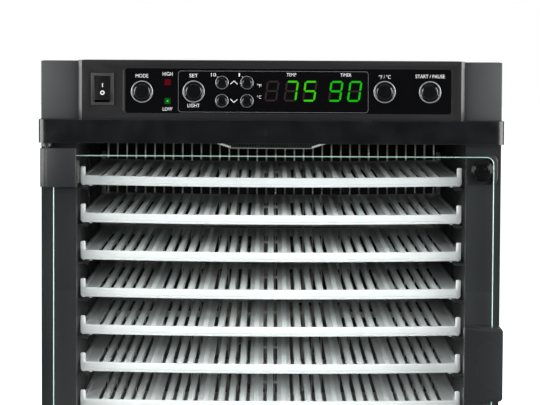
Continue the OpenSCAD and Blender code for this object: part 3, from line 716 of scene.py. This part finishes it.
    # small feet under the lips
    foot = shape["footSide"]
    for x in (-shape["footAt"], shape["footAt"]):
        for y0 in (front + 1.0, front + depth - foot - 1.0):
            shellVerts = []
            for inset, z in ((0.5, -1.2), (0.15, -1.0), (0.0, -0.6), (0.0, 0.6)):
                reach = foot / 2 - inset
                shellVerts += [(x + sx * reach, y0 + foot / 2 + sy * reach, lift(x) + z)
                               for sx, sy in ((-1, -1), (1, -1), (1, 1), (-1, 1))]
            addShell(shellVerts, sleeveFaces(4, 4))
    verts = [((x + middle) * mm, y * mm, z * mm) for x, y, z in verts]
    return meshFrom("trayMoulding", verts, faces)


trayData = trayMesh()
trayData.materials.append(trayPlastic)
for polygon in trayData.polygons:
    polygon.use_smooth = True
trayData.set_sharp_from_angle(angle=math.radians(38))
for number in range(1, 12):
    node = f"tray_{number:02d}"
    piece = bpy.data.objects.new(f"meshTray.{number:02d}", trayData)
    scene.collection.objects.link(piece)
    piece.location.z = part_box(node)[0].z + trayShape["seat"] * mm  # the lip's underside
    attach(piece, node)
    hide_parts(node)
print("tray mesh faces:", len(trayData.polygons))


print("door")
paneShape = dict(corner=7.0, arris=0.6)


def makePane():
    low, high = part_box("door_glass")
    arris = paneShape["arris"] * mm
    outline = roundedOutline((low.x, low.z), (high.x, high.z), paneShape["corner"] * mm, steps=10)
    small = insetOutline(outline, arris)
    mesh = loftOutlines("glassPane", [(low.y, small), (low.y + arris, outline), (high.y - arris, outline),
                                      (high.y, small)])
    finishPiece("glassPane", mesh, "door", [paneGlass, glassEdge], ["door_glass"], smoothAngle=30.0)
    for polygon in mesh.polygons:
        polygon.material_index = 0 if abs(polygon.normal.y) > 0.99 else 1


makePane()

knobShape = dict(radius=10.5, rise=5.5, stem=3.9, steps=72)


def makeKnobs():
    low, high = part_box("magnet_knobs")
    r, rise, stem = (knobShape[key] * mm for key in ("radius", "rise", "stem"))
    dome = [(0.0, 0.0)]
    for k in range(1, 10):
        turn = math.radians(10 * k)
        dome.append((rise * 0.62 * (1 - math.cos(turn)), 0.9 * r * math.sin(turn)))
    profile = dome + [(rise * 0.66, r * 0.93), (rise * 0.7, r * 0.985), (rise * 0.78, r), (rise, r), (rise, stem),
                      (high.y - low.y, stem), (high.y - low.y, 0.0)]
    for name, z in (("catchKnobTop", high.z - r), ("catchKnobBottom", low.z + r)):
        mesh = latheMesh(name, Vector(((low.x + high.x) / 2, low.y, z)), profile, knobShape["steps"])
        finishPiece(name, mesh, "door", [knobPlastic], ["magnet_knobs"], smoothAngle=50.0)


makeKnobs()


print("control panel")
panelFace = windowLow.y
inkProud = 0.04 * mm  # how far the prints stand out


def panelPoint(x, z, proud=0.0):
    # heights on the panel are given above the window's lower edge
    return Vector((x * mm, panelFace - proud, windowLow.z + z * mm))


def makeLabel(name, text, x, z, height, width):
    # text cut to a cap height and an overall width, in millimetres
    curve = bpy.data.curves.new(name, "FONT")
    curve.body = text
    curve.size = height * mm / 0.69
    curve.align_x = "CENTER"
    curve.align_y = "CENTER"
    curve.extrude = inkProud / 2
    curve.resolution_u = 4
    carrier = bpy.data.objects.new(name + "Curve", curve)
    scene.collection.objects.link(carrier)
    bpy.context.view_layer.update()
    shape = carrier.evaluated_get(bpy.context.evaluated_depsgraph_get()).to_mesh()
    data = bmesh.new()
    data.from_mesh(shape)
    bmesh.ops.remove_doubles(data, verts=data.verts, dist=0.000001)
    xs = [vert.co.x for vert in data.verts]
    ys = [vert.co.y for vert in data.verts]
    squeeze = width * mm / (max(xs) - min(xs))
    centring = Matrix.Translation((-(max(xs) + min(xs)) / 2, -(max(ys) + min(ys)) / 2, 0.0))
    turn = Matrix.Rotation(math.radians(90), 4, "X") @ Matrix.Diagonal((squeeze, 1.0, 1.0, 1.0)) @ centring
    data.transform(Matrix.Translation(panelPoint(x, z, inkProud / 2)) @ turn)
    mesh = bpy.data.meshes.new(name)
    data.to_mesh(mesh)
    data.free()
    bpy.data.objects.remove(carrier)
    bpy.data.curves.remove(curve)
    finishPiece(name, mesh, "cabinet", [labelInk], smoothAngle=30.0)


def flatShape(name, outlines, material, proud=inkProud):
    # thin raised prints: each outline is a closed list of (x, z) in millimetres
    verts, faces = [], []
    for outline in outlines:
        faces += sleeveFaces(2, len(outline), start=len(verts))
        verts += [(x * mm, y, windowLow.z + z * mm) for y in (panelFace - proud, panelFace) for x, z in outline]
    finishPiece(name, meshFrom(name, verts, faces), "cabinet", [material], smoothAngle=30.0)


def strokeQuad(a, b, width):
    a, b = Vector(a), Vector(b)
    side = (b - a).normalized()
    side = Vector((-side.y, side.x)) * width / 2
    return [tuple(a - side), tuple(b - side), tuple(b + side), tuple(a + side)]


labels = [  # name, words, middle in x and z, cap height, width
    ("labelMode", "MODE", -121.8, 35.1, 3.3, 11.9), ("labelSet", "SET", -73.2, 35.5, 3.3, 7.9),
    ("labelLight", "LIGHT", -73.2, 7.4, 3.3, 11.6), ("labelUnit", "°F / °C", 106.2, 35.1, 3.3, 10.8),
    ("labelStart", "START / PAUSE", 148.8, 35.7, 3.3, 27.4), ("labelHigh", "HIGH", -97.7, 36.9, 3.3, 9.4),
    ("labelLow", "LOW", -97.7, 4.0, 3.3, 9.0), ("labelTemp", "TEMP", 18.6, 36.7, 3.0, 9.1),
    ("labelTimer", "TIMER", 69.6, 36.7, 3.0, 10.3), ("labelTens", "10", -54.6, 36.4, 3.3, 4.6),
    ("labelOnes", "1", -30.4, 36.4, 3.3, 1.2), ("labelF", "°F", -11.7, 26.4, 3.0, 4.2),
    ("labelC", "°C", -11.7, 15.6, 3.0, 4.4)]
for label in labels:
    makeLabel(*label)

outlineRect = dict(low=(-87.8, 1.1), high=(90.9, 40.0), radius=3.0, line=0.35)  # frame around the settings


def ringOutline(name, shape, material):
    outer = roundedOutline(shape["low"], shape["high"], shape["radius"])
    inner = insetOutline(outer, shape["line"])
    count = len(outer)
    y0, y1 = panelFace - inkProud, panelFace
    verts = []
    for y, points in ((y0, outer), (y0, inner), (y1, outer), (y1, inner)):
        verts += [(x * mm, y, windowLow.z + z * mm) for x, z in points]
    faces = []
    for k in range(count):
        n = (k + 1) % count
        faces.append((k, n, count + n, count + k))
        faces.append((2 * count + k, 3 * count + k, 3 * count + n, 2 * count + n))
        faces.append((k, 2 * count + k, 2 * count + n, n))
        faces.append((count + k, count + n, 3 * count + n, 3 * count + k))
    finishPiece(name, meshFrom(name, verts, faces), "cabinet", [material], smoothAngle=30.0)


ringOutline("displayOutline", outlineRect, lineInk)

for name, z, rise in (("chevronUp", 29.1, 1.5), ("chevronDown", 12.0, -1.5)):
    peak = (-35.3, z + rise)
    flatShape(name, [strokeQuad((-38.6, z - rise), peak, 0.8), strokeQuad(peak, (-32.0, z - rise), 0.8)], labelInk)
for name, x0, x1, z0, z1 in (("tickTens", -51.6, -49.0, 34.8, 33.8), ("tickOnes", -28.4, -25.8, 34.8, 33.8)):
    flatShape(name, [strokeQuad((x0, z0), (x1, z1), 0.35)], labelInk)
flatShape("panelSeam", [strokeQuad((-139.3, 2.3), (-139.3, 40.8), 0.3)], lineInk)

segmentShape = dict(height=19.5, width=12.0, bar=1.75, gap=0.3, slant=math.tan(math.radians(8)), low=11.6)
segmentPlan = {"0": "abcdef", "5": "afgcd", "7": "abc", "9": "abcdfg", " ": ""}


def segmentOutline(letter, x):
    s = segmentShape
    w, h, t, g = s["width"] / 2, s["height"], s["bar"], s["gap"]
    halfH, c = h / 2, s["bar"] / 2
    flat = {"a": h - c, "g": halfH, "d": c}
    upright = {"b": (w - c, halfH, h - c), "c": (w - c, c, halfH), "f": (-w + c, halfH, h - c), "e": (-w + c, c, halfH)}
    if letter in flat:
        z = flat[letter]
        left, right = -w + c + g, w - c - g
        points = [(left, z), (left + c, z - c), (right - c, z - c), (right, z), (right - c, z + c), (left + c, z + c)]
    else:
        px, z0, z1 = upright[letter]
        z0, z1 = z0 + g, z1 - g
        points = [(px, z0), (px + c, z0 + c), (px + c, z1 - c), (px, z1), (px - c, z1 - c), (px - c, z0 + c)]
    return [(x + px + (pz - halfH) * s["slant"], s["low"] + pz) for px, pz in points]


digits = [("digitBlank", " ", 0.3, litGreen), ("digitTempTens", "7", 18.4, litGreen),
          ("digitTempOnes", "5", 35.9, litGreen), ("digitTimeTens", "9", 60.2, litTimer),
          ("digitTimeOnes", "0", 78.0, litTimer)]
for name, figure, x, glow in digits:
    lit = segmentPlan[figure]
    if lit:
        flatShape(name + "Lit", [segmentOutline(letter, x) for letter in lit], glow)
    dark = [letter for letter in "abcdefg" if letter not in lit]
    if dark:
        flatShape(name + "Unlit", [segmentOutline(letter, x) for letter in dark], unlitSegment)

statusShape = dict(x=-97.7, half=2.8, corner=0.6, coreHalf=0.9, coreCorner=0.85)


def makeStatus(name, z, half, corner, material, proud=inkProud):
    x = statusShape["x"]
    outline = roundedOutline((x - half, z - half), (x + half, z + half), corner, steps=4)
    flatShape(name, [outline], material, proud=proud)


makeStatus("statusRed", 29.1, statusShape["half"], statusShape["corner"], lampRed)
makeStatus("statusGreen", 11.5, statusShape["half"], statusShape["corner"], lampGreen)
makeStatus("statusGreenCore", 11.5, statusShape["coreHalf"], statusShape["coreCorner"], lampGreenCore, 2 * inkProud)

buttonShape = dict(
    large=dict(cap=8.0, outer=10.4, rounding=1.7, line=1.0), small=dict(cap=4.5, outer=6.25, rounding=1.1, line=0.5),
    smallBelow=12.0, gap=0.25, proud=1.2, back=3.0, steps=72)
buttons = sorted(node for node in nodes if node.startswith("button_") and node != "button_bezels")


def makeButtons():
    for node in buttons:
        low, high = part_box(node)
        centre = Vector(((low.x + high.x) / 2, panelFace, (low.z + high.z) / 2))
        size = buttonShape["small" if high.x - low.x < buttonShape["smallBelow"] * mm else "large"]
        cap, outer, rounding, line = (size[key] * mm for key in ("cap", "outer", "rounding", "line"))
        inner = cap + buttonShape["gap"] * mm
        back, proud = buttonShape["back"] * mm, -buttonShape["proud"] * mm
        front = low.y - panelFace
        edge = outer - line  # the bright rim's inner edge
        dome = [(front, 0.0), (front, 0.5 * (cap - rounding))]
        dome += [(front + rounding * (1 - math.cos(turn)), cap - rounding + rounding * math.sin(turn))
                 for turn in (math.radians(angle) for angle in range(0, 81, 10))]
        dome += [(front + rounding, cap), (back, cap), (back, 0.0)]
        rim = [(0.0, outer), (proud * 0.5, outer), (proud * 0.85, outer - 0.15 * mm), (proud, outer - 0.4 * mm),
               (proud, edge + 0.15 * mm), (proud * 0.85, edge), (back * 0.4, edge), (back * 0.4, outer - 0.1 * mm)]
        collar = [(proud * 0.6, edge), (proud * 0.75, edge - 0.2 * mm), (proud * 0.75, inner + 0.5 * mm),
                  (proud * 0.5, inner + 0.15 * mm), (proud * 0.2, inner), (back * 0.5, inner), (back * 0.5, edge)]
        title = "".join(part.capitalize() for part in node.split("_")[1:])
        for name, profile, body, slot, material, replaced, angle in (
                ("pushCap" + title, dome, node, "gloss", buttonCap, [node], 50.0),
                ("pushRing" + title, rim, "cabinet", "ring", ringMetal, ["button_bezels"], 40.0),
                ("pushCollar" + title, collar, "cabinet", "gloss", buttonCap, [], 50.0)):
            mesh = latheMesh(name, centre, profile, buttonShape["steps"])
            finishPiece(name, mesh, body, [material], replaced, smoothAngle=angle)


makeButtons()

rockerMarks = dict(x=-158.8, onRise=2.5, offRise=-4.5, barHalf=(0.45, 1.9), ring=(1.15, 2.15))


def makeRockerMark(name, outlines, rise):
    # lies on the rocker's sloping face, where a line along Y first meets it
    low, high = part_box("switch_rocker")
    start = Vector((rockerMarks["x"] * mm, low.y - 10 * mm, (low.z + high.z) / 2 + rise * mm))
    place, normal = nodes["switch_rocker"].ray_cast(start, Vector((0, 1, 0)))[1:3]
    along = Vector((1, 0, 0))
    up = normal.cross(along) * -1
    if up.z < 0:
        up = -up
    verts, faces = [], []
    for outline in outlines:
        faces += sleeveFaces(2, len(outline), start=len(verts))
        for lift in (inkProud, -inkProud):
            verts += [place + along * (px * mm) + up * (pz * mm) + normal * lift for px, pz in outline]
    finishPiece(name, meshFrom(name, verts, faces), "switch_rocker", [labelInk], smoothAngle=30.0)


def arcBand(inner, outer, start, end, steps=12):
    angles = [math.radians(start + (end - start) * k / steps) for k in range(steps + 1)]
    return ([(outer * math.cos(a), outer * math.sin(a)) for a in angles]
            + [(inner * math.cos(a), inner * math.sin(a)) for a in reversed(angles)])


barX, barZ = rockerMarks["barHalf"]
makeRockerMark("rockerMarkOn", [[(-barX, -barZ), (barX, -barZ), (barX, barZ), (-barX, barZ)]], rockerMarks["onRise"])
makeRockerMark("rockerMarkOff", [arcBand(*rockerMarks["ring"], start, start + 180) for start in (0, 180)],
               rockerMarks["offRise"])

print("softened covers")
softened = [  # CAD node, piece, edge rounding in millimetres, slot, material
    ("header_housing", "headerShell", 0.7, "header", headerPlastic),
    ("control_fascia", "fasciaPanel", 0.35, "header", fasciaPlastic),
    ("door_handle", "pullHandle", 1.2, "gloss", handlePlastic),
    ("hinge_caps", "hingeCovers", 0.8, "moulding", capPlastic),
    ("magnet_pads", "catchPads", 0.5, "moulding", framePlastic),
    ("switch_body", "switchBezel", 0.3, "gloss", bezelPlastic),
    ("switch_rocker", "rockerKey", 0.3, "gloss", rockerPlastic),
]
for node, name, width, slot, material in softened:
    softenNode(node, name, width * mm, slot, material)


print("studio")
floorMesh = bpy.data.meshes.new("studioFloor")
floorMesh.from_pydata([(-14, -3.2, 0), (14, -3.2, 0), (14, 16, 0), (-14, 16, 0)], [], [(0, 1, 2, 3)])
floor = bpy.data.objects.new("studioFloor", floorMesh)
scene.collection.objects.link(floor)
floorPaper, floorTree, floorShader = newMaterial("floorPaper")
floorTone = blendColour(floorTree, objectNoise(floorTree, 300.0, 3.0), rgb((0.88, 0.88, 0.88)),
                        rgb((0.92, 0.92, 0.92)))
floorPath = addNode(floorTree, "ShaderNodeLightPath")
floorSeen = floorPath.outputs["Is Camera Ray"]  # white as seen, darker in what it throws back
floorTree.links.new(blendColour(floorTree, floorSeen, rgb((0.14, 0.14, 0.14)), floorTone),
                    floorShader.inputs["Base Color"])
floorTree.links.new(floorSeen, floorShader.inputs["Emission Strength"])
floorShader.inputs["Roughness"].default_value = 0.8
floorShader.inputs["Specular IOR Level"].default_value = 0.1
floorShader.inputs["Emission Color"].default_value = (1, 1, 1, 1)
floorMesh.materials.append(floorPaper)

frontAim = (0.0, -0.21, 0.3)  # low on the door
trayPieces = [f"meshTray.{number:02d}" for number in range(1, 12)]
studioLamps = [
    dict(name="wideLeft", at=(-1.7, -1.9, 0.9), aim=frontAim, size=(0.9, 0.9), radiance=7.0),
    dict(name="wideRight", at=(1.7, -1.9, 0.9), aim=frontAim, size=(0.9, 0.9), radiance=7.0),
    dict(name="lowLeft", at=(-0.8, -2.5, 0.62), aim=frontAim, size=(0.5, 0.3), radiance=1.5),
    dict(name="lowRight", at=(0.8, -2.5, 0.62), aim=frontAim, size=(0.5, 0.3), radiance=1.5),
    dict(name="sideLeft", at=(-1.6, -0.55, 0.7), aim=(0.0, -0.2, 0.7), size=(1.5, 1.5), radiance=7.2),
    dict(name="sideRight", at=(1.6, -0.55, 0.7), aim=(0.0, -0.2, 0.7), size=(1.5, 1.5), radiance=7.8),
    dict(name="topSoftbox", at=(0.0, -1.3, 1.6), aim=frontAim, size=(1.7, 0.8), radiance=0.6),
    dict(name="backSoftbox", at=(0.0, 1.2, 1.6), aim=(0.0, 0.0, 0.4), size=(2.2, 1.0), radiance=1.5),
    dict(name="grilleFill", at=(0.0, -2.6, 0.56), aim=(0.0, 0.15, 0.4), size=(0.3, 0.05), radiance=280.0,
         only=["rear_grille"]),
    dict(name="trayFill", at=(0.0, -2.4, 0.8), aim=(0.0, -0.1, 0.25), size=(1.8, 0.3), radiance=3.7,
         only=trayPieces),
    dict(name="floorSpot", at=(0.0, -0.5, 1.0), aim=(0.0, -0.34, 0.0), cone=50.0, power=11.0, only=trayPieces)]


def makeLamp(lamp):
    light = bpy.data.lights.new(lamp["name"], "SPOT" if "cone" in lamp else "AREA")
    if "cone" in lamp:  # a soft spot without shadows, for the insides of the trays
        light.spot_size, light.spot_blend = math.radians(lamp["cone"]), 1.0
        light.shadow_soft_size, light.energy, light.use_shadow = 0.1, lamp["power"], False
    else:
        light.shape = "RECTANGLE"
        light.size, light.size_y = lamp["size"]
        light.energy = lamp["radiance"] * math.pi * light.size * light.size_y  # a one-sided panel of that radiance
    holder = bpy.data.objects.new(lamp["name"], light)
    scene.collection.objects.link(holder)
    holder.location = lamp["at"]
    holder.rotation_euler = (Vector(lamp["aim"]) - Vector(lamp["at"])).to_track_quat("-Z", "Y").to_euler()
    holder.visible_camera = False
    if "only" in lamp:
        receivers = bpy.data.collections.new(lamp["name"] + "Receivers")
        for receiver in lamp["only"]:
            receivers.objects.link(nodes[receiver] if receiver in nodes else bpy.data.objects[receiver])
        holder.light_linking.receiver_collection = receivers


for lamp in studioLamps:
    makeLamp(lamp)

world = bpy.data.worlds.new("studioWorld")
scene.world = world
world.use_nodes = True
world.node_tree.nodes.clear()
skyTree = world.node_tree
skyCoords = addNode(skyTree, "ShaderNodeTexCoord")
skyAxes = addNode(skyTree, "ShaderNodeSeparateXYZ", {"Vector": skyCoords.outputs["Generated"]})
skyBack = addNode(skyTree, "ShaderNodeMapRange",
                  {"Value": skyAxes.outputs["Y"], "From Min": -0.2, "From Max": 0.6, "To Min": 0.02, "To Max": 0.4},
                  interpolation_type="SMOOTHSTEP")
skyPath = addNode(skyTree, "ShaderNodeLightPath")
skyLevel = addMath(skyTree, "MAXIMUM", skyBack.outputs["Result"], skyPath.outputs["Is Camera Ray"])
skyShade = addNode(skyTree, "ShaderNodeBackground", {"Color": (1, 1, 1, 1), "Strength": skyLevel})
addNode(skyTree, "ShaderNodeOutputWorld", {"Surface": skyShade.outputs[0]})
scene.view_settings.view_transform = "Standard"

cameraSetup = dict(place=(-0.0018, -2.744, 0.5388), pitch=-3.69, roll=-0.28, lens=179.5)
cameraData = bpy.data.cameras.new("studioCamera")
cameraData.lens = cameraSetup["lens"]
cameraData.sensor_width = 36.0
camera = bpy.data.objects.new("studioCamera", cameraData)
scene.collection.objects.link(camera)
camera.location = cameraSetup["place"]
camera.rotation_euler = (math.radians(90 + cameraSetup["pitch"]), math.radians(cameraSetup["roll"]), 0.0)
scene.camera = camera

print("scene ready")
